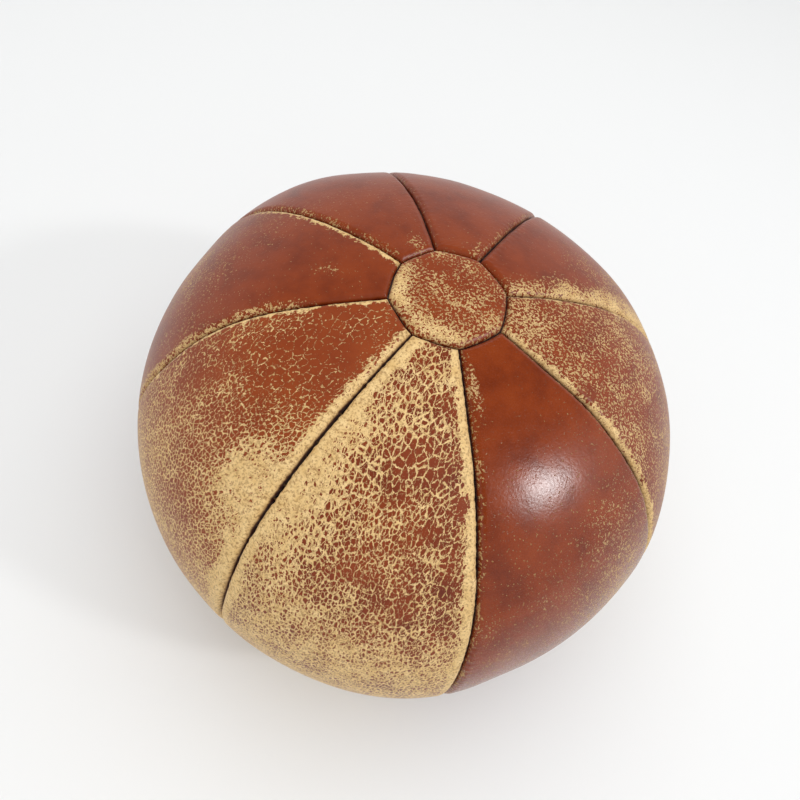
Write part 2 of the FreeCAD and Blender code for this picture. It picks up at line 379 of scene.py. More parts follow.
@dataclass(frozen=True)
class Seam:
    """A hand-sewn seam from cap to cap. It wanders a little and its edges part in places."""

    longitude: float
    seed: int
    sway: float = 0.55 * MM
    sway_length: float = 55 * MM
    half_gap: float = 0.3 * MM
    broad: float = 0.35
    broad_length: float = 14 * MM
    ragged: float = 0.34
    ragged_length: float = 3.4 * MM
    parting: float = 0.12 * MM
    parting_at: float = 110 * MM
    parting_span: float = 60 * MM
    pucker: float = 0.2 * MM
    low_pucker: float = 0.45 * MM
    low_from: float = 150 * MM
    low_to: float = 215 * MM
    gather: float = 0.5
    gather_length: float = 22 * MM

    def along(self, distance: Array) -> Array:
        """Distances as places for ripple to read, one line for each seam."""
        still = np.zeros_like(distance)
        return np.stack((distance, still + 0.37 * self.seed, still), axis=-1)

    def wander(self, distance: Array) -> Array:
        """How far the seam is off its meridian, in metres."""
        return self.sway * ripple(self.along(distance), self.sway_length, 40 + self.seed)

    def gap(self, distance: Array) -> Array:
        """Half the space between the two edges.

        Args:
            distance: Distances from the top pole.

        Returns:
            Half gaps in metres.
        """
        shape = np.exp(-(((distance - self.parting_at) / self.parting_span) ** 2))
        broad = self.broad * ripple(self.along(distance), self.broad_length, 70 + self.seed)
        ragged = self.ragged * ripple(self.along(distance), self.ragged_length, 80 + self.seed)
        return (self.half_gap + self.parting * shape) * np.clip(1.0 + broad + ragged, 0.3, 2.0)

    def puckers(self, distance: Array) -> Array:
        """How much the stitches gather the hide, which is more on the ball's lower half.

        Args:
            distance: Distances from the top pole.

        Returns:
            The puckers' greatest depths in metres.
        """
        lower = ease(self.low_from, self.low_to, distance)
        uneven = 1.0 + self.gather * ripple(self.along(distance), self.gather_length, 90 + self.seed)
        return (self.pucker + (self.low_pucker - self.pucker) * lower) * np.clip(uneven, 0.1, 2.0)


# How much further the edges part halfway down some seams, by the seam's number.
PARTINGS: dict[int, float] = {6: 0.4 * MM, 7: 0.2 * MM, 8: 0.25 * MM}


@dataclass(frozen=True)
class Lane:
    """Lines that run along a folded edge, across the panel, and along the other folded edge.

    From an edge inwards there are lines on the turned-in flange, lines round the fold, lines
    that spread out over the shoulder beside it, and evenly spaced lines over the middle.
    """

    middle: int
    both_edges: bool = True
    fold_radius: float = 3.1 * MM
    flange_depth: float = 7.0 * MM
    shoulder: float = 9.0 * MM
    flange_lines: int = 3
    fold_lines: int = 9
    shoulder_lines: int = 15

    @cached_property
    def parts(self) -> tuple[Array, Array, Array, Array, Array]:
        """For each line: its share of the flange, the turn, the shoulder and the middle, its side.

        Returns:
            Five arrays with one number for each line.
        """
        flange = np.linspace(1.0, 0.0, self.flange_lines, endpoint=False)
        turn = np.linspace(0.0, math.pi / 2, self.fold_lines)
        step = np.linspace(0.0, 1.0, self.shoulder_lines + 1)[1:]
        ends = self.flange_lines + self.fold_lines + self.shoulder_lines
        share = np.linspace(0.0, 1.0, self.middle + 2)[1:-1] if self.both_edges else (
            np.linspace(0.0, 1.0, self.middle + 1)[1:])
        one_flange = np.concatenate((flange, np.zeros(ends - len(flange))))
        one_turn = np.concatenate((np.zeros(len(flange)), turn, np.full(len(step), math.pi / 2)))
        one_step = np.concatenate((np.zeros(ends - len(step)), step ** 1.4))
        none = np.zeros(len(share))
        flat = np.full(len(share), math.pi / 2)
        rows = [
            np.concatenate((one_flange, none)),
            np.concatenate((one_turn, flat)),
            np.concatenate((one_step, none + 1.0)),
            np.concatenate((np.zeros(ends), share)),
            np.zeros(ends + len(share)),
        ]
        if self.both_edges:
            others = (one_flange, one_turn, one_step, np.zeros(ends), np.ones(ends))
            rows = [np.concatenate((row, other[::-1])) for row, other in zip(rows, others)]
        return rows[0], rows[1], rows[2], rows[3], rows[4]

    @property
    def count(self) -> int:
        """How many lines there are."""
        return len(self.parts[0])

    def across(self, width: Array, first_gap: Array, last_gap: Array) -> tuple[Array, Array]:
        """Where each line lies and how far it is below the surface.

        A line round the fold is at gap + r (1 - cos turn) and r (1 - sin turn) deep. The last
        axis of every array is the lines.

        Args:
            width: The panel's width from seam to seam.
            first_gap: Half the gap at the first seam.
            last_gap: Half the gap at the last seam.

        Returns:
            Distances from the first seam, and depths.
        """
        flange, turn, step, share, side = self.parts
        shoulder = np.minimum(self.shoulder, 0.28 * width)
        gap = np.where(side > 0.5, last_gap, first_gap)
        edge = gap + self.fold_radius * (1.0 - np.cos(turn))
        inward = edge + step * (shoulder - gap - self.fold_radius)
        rest = width - 2 * shoulder if self.both_edges else width - shoulder
        inward = inward + share * rest
        depth = self.fold_radius * (1.0 - np.sin(turn)) + flange * (self.flange_depth - self.fold_radius)
        return np.where(side > 0.5, width - inward, inward), depth + 0.0 * width


@dataclass(frozen=True)
class Stitching:
    """The stitches' effect on the hide beside a seam."""

    pitch: float = 3.7 * MM
    reach: float = 2.6 * MM

    def dip(self, along: Array, off: Array, strength: Array) -> Array:
        """Depth of the puckers: a cosine along the seam that dies away from it."""
        wave = 0.5 - 0.5 * np.cos(along * (2.0 * math.pi / self.pitch))
        return strength * wave ** 1.5 * np.exp(-off / self.reach)


# ---- How worn a panel is --------------------------------------------------------------------

@dataclass(frozen=True)
class Band:
    """A worn strip along a seam: its width at the cap and lower down, and how bare it is."""

    top_width: float
    low_width: float
    bare: float
    feather: float = 4.0
    start: float = -20.0
    end: float = 400.0

    def share(self, off: Array, down: Array, uneven: Array, soft: float = 1.0) -> Array:
        """How much of the strip's bareness each place has.

        Args:
            off: Distance from the seam, in mm.
            down: Distance from the cap's edge, in mm.
            uneven: Smooth unevenness, -1 to 1.
            soft: How many times softer the strip's edge is taken to be.

        Returns:
            1 inside the strip, falling to 0 outside it.
        """
        lower = np.clip(down / 150.0, 0.0, 1.0)
        width = self.top_width + (self.low_width - self.top_width) * lower
        width = width * (1.0 + 0.2 * uneven)
        inside = 1.0 - ease(0.0, 1.0, (off - width) / (self.feather * soft) + 0.5)
        ends = ease(self.start - 12, self.start + 12, down)
        ends = ends * (1 - ease(self.end - 30, self.end + 30, down))
        return inside * ends


@dataclass(frozen=True)
class Patch:
    """A worn or spared place: its middle, its size, and how much wear it adds.

    On a gore, across is a share of the width and width is in mm. On a cap both are in degrees.
    """

    down: float
    across: float
    length: float
    width: float
    wear: float

    def add(self, down: Array, aside: Array, uneven: Array) -> Array:
        """The wear that the patch adds, from a bell over it with an uneven rim.

        Args:
            down: Distance from the cap's edge, in mm.
            aside: Distance from the patch's middle across the panel: mm, or degrees on a cap.
            uneven: Smooth unevenness, -1 to 1.

        Returns:
            The wear at each place.
        """
        reach = ((down - self.down) / self.length) ** 2 + (aside / self.width) ** 2
        return self.wear * np.exp(-reach * np.clip(1.0 + 0.6 * uneven, 0.4, 2.5))


@dataclass(frozen=True)
class PanelLook:
    """How one panel's finish has worn.

    It has a wear at the cap and one lower down, how much of the wear follows cracks, how small
    their plates are at the cap and lower down, its polish and its tone. The plates are longer
    along the panel where draw is less than 1, and smaller all over where close is more.
    """

    worn: float
    low_worn: float
    crackle: float = 0.3
    fine_top: float = 0.9
    fine_low: float = 1.0
    polish: float = 0.35
    tone: float = 0.0
    draw: float = 0.75
    close: float = 1.0
    first: Band = Band(1.5, 2.0, 0.25)
    last: Band = Band(1.5, 2.0, 0.25)
    patches: tuple[Patch, ...] = ()


GORE_LOOKS: dict[int, PanelLook] = {
    1: PanelLook(
        0.07, 0.35, fine_top=0.8, polish=0.3,
        first=Band(5.5, 24.0, 0.74, feather=32.0), last=Band(1.5, 1.5, 0.2),
        patches=(Patch(90, 0.3, 45, 26, 0.2),),
    ),
    2: PanelLook(
        0.03, 0.2, crackle=0.1, first=Band(3.0, 2.0, 0.35), last=Band(2.5, 2.0, 0.25),
        patches=(Patch(6, 0.15, 9, 4, 0.4),),
    ),
    3: PanelLook(
        0.04, 0.2, crackle=0.1, tone=0.05,
        first=Band(2.0, 2.0, 0.2), last=Band(3.0, 3.5, 0.4, feather=6.0),
        patches=(Patch(6, 0.35, 7, 4, 0.45),),
    ),
    4: PanelLook(
        0.07, 0.36, fine_top=0.6,
        first=Band(3.6, 4.0, 0.9, end=105.0), last=Band(2.5, 6.0, 0.55, feather=6.0, start=35.0),
        patches=(Patch(30, 0.6, 8, 4, 0.3), Patch(110, 0.4, 30, 40, 0.15)),
    ),
    5: PanelLook(
        0.2, 0.48, crackle=1.0, fine_top=0.1, fine_low=0.85, polish=0.2, tone=0.35,
        first=Band(3.4, 2.5, 0.9, feather=2.5), last=Band(3.0, 10.0, 0.95, feather=12.0),
        patches=(Patch(98, 0.83, 22, 14, 0.4),),
    ),
    6: PanelLook(
        0.45, 0.58, crackle=1.0, fine_top=0.1, fine_low=0.62, polish=0.1, tone=-0.1,
        draw=0.62, close=1.18,
        first=Band(8.0, 7.0, 0.95, feather=9.0), last=Band(5.6, 6.5, 0.95, feather=6.0),
        patches=(Patch(74, 0.13, 36, 12, 0.26), Patch(98, 0.56, 48, 36, -0.17)),
    ),
    7: PanelLook(
        0.0, 0.28, crackle=0.2, fine_top=0.8, polish=1.0, tone=-0.1,
        first=Band(2.0, 3.0, 0.42, feather=5.0), last=Band(1.5, 3.0, 0.4, feather=5.0),
        patches=(Patch(130, 0.8, 52, 30, 0.22), Patch(18, 0.1, 16, 2.6, 0.5)),
    ),
    8: PanelLook(
        0.36, 0.47, crackle=0.4, polish=0.25, tone=0.05,
        first=Band(3.0, 4.5, 0.8, feather=6.0), last=Band(2.0, 4.0, 0.7),
        patches=(Patch(8, 0.5, 12, 14, 0.15),),
    ),
}


class End(Enum):
    """Which pole of the ball an end cap is at."""

    TOP = "top"
    BOTTOM = "bottom"


CAP_LOOKS: dict[End, PanelLook] = {
    End.TOP: PanelLook(
        0.36, 0.36, crackle=0.35, fine_top=1.0, polish=0.25, tone=0.2, first=Band(1.5, 1.5, 0.4),
        patches=(Patch(3.5, 190.0, 4.5, 30.0, 0.42), Patch(4.5, 285.0, 4.0, 45.0, 0.3)),
    ),
    End.BOTTOM: PanelLook(0.55, 0.55, crackle=0.8, polish=0.15, first=Band(2.0, 2.0, 0.4)),
}


# ---- The hide -------------------------------------------------------------------------------

def painted_crease_shade(depth: Array, off: Array, dip: Array) -> Array:
    """How much painted shade a place gets, darkening where shade falls: all of it deep in a seam, and a
    little in the puckers.

    Args:
        depth: How far each point lies below the surface.
        off: Distance from the nearest seam.
        dip: Depth of the puckers.

    Returns:
        0 where there is no painted shade, to 1.
    """
    deep = 0.9 * ease(1.3 * MM, 3.2 * MM, depth)
    beside = 0.1 * np.exp(-off / (1.0 * MM))
    gathered = 0.9 * ease(0.12 * MM, 0.5 * MM, dip)
    return np.clip(deep + beside + gathered, 0.0, 1.0)


@dataclass(frozen=True)
class CapEdge:
    """The line where an end cap meets the gores: an eight-sided outline with bowed sides."""

    corner_radius: float
    longitudes: tuple[float, ...]
    bow: float = 0.45
    seed: int = 5

    def radius(self, longitude: Array) -> Array:
        """The edge's radius: each straight side, moved part of the way out to the circle.

        Args:
            longitude: Longitudes in radians.

        Returns:
            Distances from the axis.
        """
        starts = np.array(self.longitudes)
        turned = np.mod(longitude - starts[0], 2 * math.pi) + starts[0]
        number = np.clip(np.searchsorted(starts, turned, side="right") - 1, 0, len(starts) - 1)
        ends = np.append(starts[1:], starts[0] + 2 * math.pi)
        half = (ends[number] - starts[number]) / 2
        off = turned - starts[number] - half
        straight = self.corner_radius * np.cos(half) / np.cos(off)
        ring = np.stack((np.cos(turned), np.sin(turned), np.zeros_like(turned)), axis=-1)
        uneven = 0.25 * MM * ripple(ring * self.corner_radius, 16 * MM, self.seed)
        return straight + self.bow * (self.corner_radius - straight) + uneven


@dataclass
class Hide:
    """What all the pieces of hide share: the outline, the seams and the unevenness."""

    outline: Outline
    seams: list[Seam]
    cap_edges: dict[End, CapEdge]
    stitching: Stitching = field(default_factory=Stitching)
    swell: float = 2.4 * MM
    flat_fade: float = 9.0 * MM
    seam_sink: float = 1.1 * MM
    deepest: float = 2.0 * MM
    deepest_blend: float = 0.35 * MM
    lowest: float = 0.15 * MM
    lump_sizes: tuple[tuple[float, float, int], ...] = (
        (0.55 * MM, 95 * MM, 11), (0.06 * MM, 30 * MM, 12), (0.015 * MM, 9 * MM, 13))
    bell: float = 10.5
    girth: tuple[tuple[float, float], ...] = (
        (5, 0.6), (26, -0.9), (41, 0.0), (55, -2.2), (70, -3.0), (85, -1.4), (100, 1.0),
        (120, 2.1), (140, 4.0), (155, 2.8), (172, -0.2), (188, -2.0), (203, -3.2), (220, -1.6),
        (240, -0.7), (256, 1.6), (275, 2.2), (292, 2.6), (309, -1.3), (325, -0.7), (347, 1.1),
    )

    def slump(self, distance: Array, longitude: Array) -> Array:
        """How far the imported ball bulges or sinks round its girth, which years of use left uneven.

        It is a mean of the girth's stated places, each weighted by a bell. It fades out towards
        both caps, and further down on the front, whose shoulder stays round.

        Args:
            distance: Distances from the top pole.
            longitude: Longitudes in radians.

        Returns:
            Distances along the normal, positive where the ball bulges.
        """
        total = np.zeros_like(longitude)
        weights = np.zeros_like(longitude)
        for degrees, amount in self.girth:
            off = np.mod(np.degrees(longitude) - degrees + 180.0, 360.0) - 180.0
            weight = np.exp(-((off / self.bell) ** 2)) + 1e-9
            total += weight * amount * MM
            weights += weight
        front = 0.5 - 0.5 * np.sin(longitude)
        start, full = (55 + 55 * front) * MM, (150 + 50 * front) * MM
        upper = ease(0.0, 1.0, (distance - start) / (full - start))
        lower = 1 - ease(245 * MM, 330 * MM, distance)
        return (total / weights - self.seam_sink) * upper * lower

    def over_lining(self, lift: Array) -> Array:
        """A lift that never goes deeper than the canvas allows, blended so that it has no kink."""
        over = (lift + self.deepest) / self.deepest_blend
        return self.deepest_blend * np.logaddexp(0.0, over) - self.deepest

    def lumps(self, points: Array) -> Array:
        """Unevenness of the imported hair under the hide, the same on both sides of a seam."""
        return sum(size * ripple(points, length, seed) for size, length, seed in self.lump_sizes)

    def settled(self, height: Array) -> Array:
        """0 where the ball lies flat on the ground, rising to 1 above it."""
        return ease(0.0, self.flat_fade, height)

    def place(self, distance: Array, longitude: Array, lift: Array) -> Array:
        """Points of the hide, kept off the ground.

        Args:
            distance: Distances from the top pole.
            longitude: Longitudes in radians.
            lift: How far each point is raised along the normal.

        Returns:
            Points, with x, y and z in the last axis.
        """
        made = self.outline.place(distance, longitude, lift)
        made[..., 2] = np.maximum(made[..., 2], self.lowest)
        return made


@dataclass
class Gore:
    """One tapered side panel from cap to cap."""

    number: int
    hide: Hide
    first: Seam
    last: Seam
    look: PanelLook
    across_lane: Lane = field(default_factory=lambda: Lane(middle=98))
    down_lane: Lane = field(default_factory=lambda: Lane(middle=505))
    coarse_rows: int = 64
    coarse_columns: int = 22
    uneven_length: float = 17 * MM
    broad_length: float = 48 * MM
    mottle: float = 0.05
    low_at: float = 165.0
    frays: tuple[tuple[float, float, int], ...] = ((1.1 * MM, 5 * MM, 500), (0.8 * MM, 2.4 * MM, 501))
    rim_wear: float = 0.3
    rim_reach: float = 1.6 * MM

    @property
    def name(self) -> str:
        """The piece's name."""
        return f"hide_gore_{self.number}"

    def ends(self, longitude: Array) -> tuple[Array, Array]:
        """Distances from the top pole at which the gore starts and ends.

        Args:
            longitude: Longitudes in radians.

        Returns:
            The starts and the stops.
        """
        outline = self.hide.outline
        start = outline.down_to(self.hide.cap_edges[End.TOP].radius(longitude))
        stop = outline.length - self.hide.cap_edges[End.BOTTOM].radius(longitude)
        return start, stop

    def span(self, distance: Array) -> tuple[Array, Array]:
        """The longitudes of the first seam and the last seam at distances from the top pole.

        Args:
            distance: Distances from the top pole.

        Returns:
            Two arrays of longitudes in radians.
        """
        radius = np.maximum(self.hide.outline.at(distance)[0], 10 * MM)
        first = self.first.longitude + self.first.wander(distance) / radius
        last = self.last.longitude + self.last.wander(distance) / radius
        return first, last

    def coarse(self) -> Array:
        """A coarse grid of points on the outline, for the simulation: rows by columns by 3.

        Returns:
            Points, with x, y and z in the last axis.
        """
        down = np.linspace(0, 1, self.coarse_rows)[:, None]
        across = np.linspace(0, 1, self.coarse_columns)[None, :]
        longitude = self.first.longitude + across * (self.last.longitude - self.first.longitude)
        start, stop = self.ends(longitude)
        distance = start + down * (stop - start)
        return self.hide.outline.place(distance, longitude + 0.0 * down, np.zeros_like(distance))

    def build(self, swell: Array) -> Piece:
        """Make the gore's surface.

        Each line down the gore and each line across it has its place from its Lane. A point is
        the outline's point at that distance and longitude, raised along the normal by the swell
        and the lumps, and lowered by the deeper of the two lanes' folds and by the puckers.

        Args:
            swell: How far the hair pushes the hide out, on the coarse grid.

        Returns:
            The piece.
        """
        hide, outline = self.hide, self.hide.outline
        rows, columns = self.down_lane.count, self.across_lane.count
        low, high = self.first.longitude, self.last.longitude
        longitude = np.linspace(low, high, columns)[None, :] + np.zeros((rows, 1))
        seam_gap = np.full(rows, self.first.half_gap)
        for _ in range(3):
            start, stop = self.ends(longitude[0])[0], self.ends(longitude[-1])[1]
            length = stop - start
            down, down_depth = self.down_lane.across(length[:, None], seam_gap, seam_gap)
            down, down_depth = down.T, down_depth.T
            distance = start[None, :] + down
            radius = outline.at(distance)[0]
            first, last = self.span(distance)
            width = (last - first) * radius
            across, across_depth = self.across_lane.across(
                width, self.first.gap(distance), self.last.gap(distance))
            longitude = first + across / radius
        depth = np.maximum(down_depth, across_depth)
        off_first, off_last = across, width - across
        off_top, off_bottom = down, length[None, :] - down
        points = outline.place(distance, longitude, np.zeros_like(distance))
        settled = hide.settled(points[..., 2])
        push = blurred_lookup(swell, down / length[None, :], across / width)
        dip = hide.stitching.dip(distance, off_first, self.first.puckers(distance))
        dip = dip + hide.stitching.dip(distance, off_last, self.last.puckers(distance))
        edge_run = longitude * radius
        dip = dip + hide.stitching.dip(edge_run, off_top, np.full_like(edge_run, self.first.pucker))
        uneven = hide.lumps(points) + hide.slump(distance, longitude)
        lift = hide.over_lining((push + uneven - dip) * settled) - depth
        made = hide.place(distance, longitude, lift)
        marks = self.marks(points, off_first, off_last, off_top, off_bottom, width, depth, dip)
        lay = np.stack((off_first - width / 2 + 0.4 * self.number, off_top * self.look.draw,
                        np.zeros_like(width)), axis=-1) * self.look.close
        flat = {mark: numbers.ravel() for mark, numbers in marks.items()}
        flat["lay"] = lay.reshape(-1, 3)
        return surface(self.name, made.reshape(-1, 3), grid_faces(rows, columns), flat)

    def marks(self, points: Array, off_first: Array, off_last: Array, off_top: Array,
              off_bottom: Array, width: Array, depth: Array, dip: Array) -> dict[str, Array]:
        """Numbers for the finish: how worn, crackled, fine and polished each point is, and its painted shade
        in the seams and puckers.

        Args:
            points: Places, with x, y and z in the last axis.
            off_first: Distance from the first seam.
            off_last: Distance from the last seam.
            off_top: Distance from the top cap's edge.
            off_bottom: Distance from the bottom cap's edge.
            width: The panel's width from seam to seam.
            depth: How far each point lies below the surface.
            dip: Depth of the puckers.

        Returns:
            Mark name to one number for each point.
        """
        look = self.look
        uneven = ripple(points, self.uneven_length, 200 + self.number)
        broad = ripple(points, self.broad_length, 300 + self.number)
        down = off_top / MM
        along = np.clip(down / self.low_at, 0.0, 1.0)
        wear = look.worn + (look.low_worn - look.worn) * along ** 1.6
        wear = wear + self.mottle * (uneven + broad)
        for patch in look.patches:
            wear = wear + patch.add(down, (off_first / width - patch.across) * width / MM, uneven)
        frayed = sum(size * ripple(points, length, seed) for size, length, seed in self.frays)
        beside = np.zeros_like(wear)
        for band, off in ((look.first, off_first), (look.last, off_last)):
            share = band.share((off + frayed) / MM, down, uneven)
            wear = np.maximum(wear, band.bare * share)
            beside = np.maximum(beside, band.bare * band.share(off / MM, down, uneven, soft=3.0))
        rim = np.exp(-np.minimum(off_top, off_bottom) / self.rim_reach)
        wear = np.maximum(wear, self.rim_wear * rim)
        fine = look.fine_top + (look.fine_low - look.fine_top) * along
        nearest = np.minimum(np.minimum(off_first, off_last), np.minimum(off_top, off_bottom))
        return {
            "wear": np.clip(wear, 0.0, 1.0),
            "crackle": look.crackle * (1.0 - 0.4 * beside),
            "fineness": np.clip(fine + 0.15 * broad + 0.7 * beside, 0.0, 1.0),
            "polish": np.full(wear.shape, look.polish),
            "tone": look.tone + 0.12 * broad,
            # painted shade in the seams' grooves and the puckers beside them
            "seam_shade": painted_crease_shade(depth, nearest, dip),
        }


@dataclass
class EndCap:
    """One of the two eight-sided pieces that the gores run up to."""

    end: End
    hide: Hide
    look: PanelLook
    lane: Lane = field(default_factory=lambda: Lane(middle=64, both_edges=False))
    half_gap: float = 0.15 * MM
    pucker: float = 0.14 * MM
    sectors: int = 360
    coarse_rings: int = 14
    coarse_sectors: int = 48
    uneven_length: float = 9 * MM
    broad_length: float = 22 * MM

    @property
    def name(self) -> str:
        """The piece's name."""
        return f"hide_cap_{self.end.value}"

    def from_pole(self, distance: Array) -> Array:
        """A distance from the cap's own pole as a distance from the top pole."""
        return distance if self.end is End.TOP else self.hide.outline.length - distance

    def edge_run(self, longitude: Array) -> Array:
        """Distance from the cap's pole to its edge."""
        radius = self.hide.cap_edges[self.end].radius(longitude)
        return self.hide.outline.down_to(radius) if self.end is End.TOP else radius

    def turn(self, count: int) -> Array:
        """Longitudes of the sectors, in the order that makes the faces point outwards."""
        way = 1.0 if self.end is End.TOP else -1.0
        return way * np.linspace(0.0, 2 * math.pi, count, endpoint=False)

    def coarse(self) -> Array:
        """A coarse grid of points, rings from the middle outwards, for the simulation.

        Returns:
            Points, with x, y and z in the last axis.
        """
        share = np.linspace(0.04, 1.0, self.coarse_rings)[:, None]
        longitude = self.turn(self.coarse_sectors)[None, :] + 0.0 * share
        distance = self.from_pole(share * self.edge_run(longitude))
        return self.hide.outline.place(distance, longitude, np.zeros_like(distance))

    def build(self, swell: Array) -> Piece:
        """Make the cap's surface: rings from its pole to its edge, and the turned-in flange.

        A point is the outline's point, raised by the swell and the lumps and lowered by the fold.

        Args:
            swell: How far the hair pushes the hide out, by share of the way from pole to edge.

        Returns:
            The piece.
        """
        hide = self.hide
        longitude = self.turn(self.sectors)[:, None] + np.zeros((1, self.lane.count))
        run = self.edge_run(longitude)
        gap = np.full(self.lane.count, self.half_gap)
        off, depth = self.lane.across(run, gap, gap)
        off, depth, longitude, run = (values.T[::-1] for values in (off, depth, longitude, run))
        distance = self.from_pole(run - off)
        points = hide.outline.place(distance, longitude, np.zeros_like(distance))
        settled = hide.settled(points[..., 2])
        share = np.clip(1.0 - off / run, 0.0, 1.0)
        push = np.interp(share, np.linspace(0.04, 1.0, len(swell)), swell)
        edge_run = longitude * hide.cap_edges[self.end].corner_radius
        dip = hide.stitching.dip(edge_run, off, np.full_like(off, self.pucker))
        lift = (push + hide.lumps(points) - dip) * settled - depth
        made = hide.place(distance, longitude, lift)
        marks = self.marks(points, off, depth)
        marks["lay"] = points * np.array([1.0, 1.0, 0.0])
        rings, sectors = off.shape
        numbers = np.arange(sectors)
        pole = made[:1].mean(axis=1)
        made_points = np.concatenate((pole, made[1:].reshape(-1, 3)))
        faces = grid_faces(rings - 1, sectors, start=1, closed=True)
        following = (numbers + 1) % sectors
        fan = np.stack((np.zeros_like(numbers), numbers + 1, following + 1, following + 1), axis=1)
        marks = {
            mark: np.concatenate((values[0, :1], values[1:].reshape((-1,) + values.shape[2:])))
            for mark, values in marks.items()
        }
        return surface(self.name, made_points, np.concatenate((fan, faces)), marks)

    def marks(self, points: Array, off: Array, depth: Array) -> dict[str, Array]:
        """Numbers for the finish, as on a gore.

        Args:
            points: Places, with x, y and z in the last axis.
            off: Distance from the cap's edge.
            depth: How far each point lies below the surface.

        Returns:
            Mark name to one number for each point.
        """
        look = self.look
        uneven = ripple(points, self.uneven_length, 400)
        broad = ripple(points, self.broad_length, 401)
        wear = look.worn + 0.08 * uneven + 0.1 * broad
        wear = np.maximum(wear, look.first.bare * look.first.share(off / MM, off * 0.0, uneven))
        longitude = np.degrees(np.arctan2(points[..., 1], points[..., 0]))
        for patch in look.patches:
            turned = np.mod(longitude - patch.across + 180.0, 360.0) - 180.0
            wear = wear + patch.add(off / MM, turned, uneven)
        return {
            "wear": np.clip(wear, 0.0, 1.0),
            "crackle": np.full(wear.shape, look.crackle),
            "fineness": np.full(wear.shape, look.fine_top),
            "polish": np.full(wear.shape, look.polish),
            "tone": look.tone + 0.1 * broad,
            # painted shade in the groove round the cap's edge
            "seam_shade": painted_crease_shade(depth, off, np.zeros_like(off)),
        }


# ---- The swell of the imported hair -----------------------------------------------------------

@dataclass
class Stuffing:
    """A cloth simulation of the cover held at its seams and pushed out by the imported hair."""

    pressure: float = 4.0
    frames: int = 20
    tension: float = 25.0
    bending: float = 1.5
    stiffness: int = 18

    def swell(self, grids: list[Array], closed: list[bool], normals: list[Array],
              most: float) -> list[Array]:
        """How far the hair pushes out each point of each grid.

        All grids go into one mesh whose rims are pinned. Pressure acts on it without gravity,
        and the way each point has gone along its normal is scaled so that the furthest goes
        the distance most.

        Args:
            grids: Coarse grids of points.
            closed: Whether a grid's last column joins its first.
            normals: The outward normal of each point.
            most: The furthest that a point may go.

        Returns:
            A grid of distances for each grid.
        """
        starts = np.cumsum([0] + [grid.shape[0] * grid.shape[1] for grid in grids])
        points = np.concatenate([grid.reshape(-1, 3) for grid in grids])
        faces = np.concatenate([
            grid_faces(grid.shape[0], grid.shape[1], int(start), ring)
            for grid, start, ring in zip(grids, starts, closed)
        ])
        rims = []
        for grid, ring in zip(grids, closed):
            rim = np.zeros(grid.shape[:2], dtype=bool)
            rim[-1] = True
            if not ring:
                rim[0] = rim[:, 0] = rim[:, -1] = True
            rims.append(rim.ravel())
        pinned = np.concatenate(rims)
        ways = np.concatenate([normal.reshape(-1, 3) for normal in normals])
        moved = self.simulate(points, faces, pinned, ways)
        parts = [
            self.stiffened(moved[start:stop].reshape(grid.shape[:2]), ring)
            for grid, ring, start, stop in zip(grids, closed, starts[:-1], starts[1:])
        ]
        furthest = max(float(np.quantile(np.concatenate([p.ravel() for p in parts]), 0.98)), 1e-6)
        return [np.clip(part / furthest * most, -0.3 * most, 1.15 * most) for part in parts]

    def stiffened(self, moved: Array, ring: bool) -> Array:
        """Take the short waves out of a grid of distances, as thick hide does. Its rims stay.

        Args:
            moved: A grid of distances.
            ring: Whether its last column joins its first.

        Returns:
            The smoothed grid.
        """
        made = moved.copy()
        for number in range(self.stiffness):
            if not ring:
                made[:, 1:-1] = 0.5 * made[:, 1:-1] + 0.25 * (made[:, :-2] + made[:, 2:])
            if number % 3 == 0:
                made[1:-1] = 0.5 * made[1:-1] + 0.25 * (made[:-2] + made[2:])
        return made

    def simulate(self, points: Array, faces: Array, pinned: Array, normals: Array) -> Array:
        """Run the cloth and return how far each point has gone along its normal.

        Args:
            points: Places, with x, y and z in the last axis.
            faces: Rows of 4 point numbers.
            pinned: Which points are held.
            normals: The outward normal of each point.

        Returns:
            One distance for each point.
        """
        cloth = surface("stuffing_trial", points, faces, {})
        group = cloth.vertex_groups.new(name="sewn")
        group.add([int(i) for i in np.flatnonzero(pinned)], 1.0, "REPLACE")
        modifier = cloth.modifiers.new("stuffing", "CLOTH")
        settings = modifier.settings
        settings.vertex_group_mass = group.name
        settings.use_pressure = True
        settings.uniform_pressure_force = self.pressure
        settings.tension_stiffness = self.tension
        settings.compression_stiffness = self.tension
        settings.bending_stiffness = self.bending
        settings.effector_weights.gravity = 0.0
        scene = bpy.context.scene
        modifier.point_cache.frame_start = 1
        modifier.point_cache.frame_end = self.frames
        for number in range(1, self.frames + 1):
            scene.frame_set(number)
        graph = bpy.context.evaluated_depsgraph_get()
        result = cloth.evaluated_get(graph).to_mesh()
        flat = np.empty(len(result.vertices) * 3)
        result.vertices.foreach_get("co", flat)
        ended = flat.reshape(-1, 3)
        scene.frame_set(1)
        bpy.data.objects.remove(cloth, do_unlink=True)
        return np.einsum("ij,ij->i", ended - points, normals)


# ---- Finishes -------------------------------------------------------------------------------

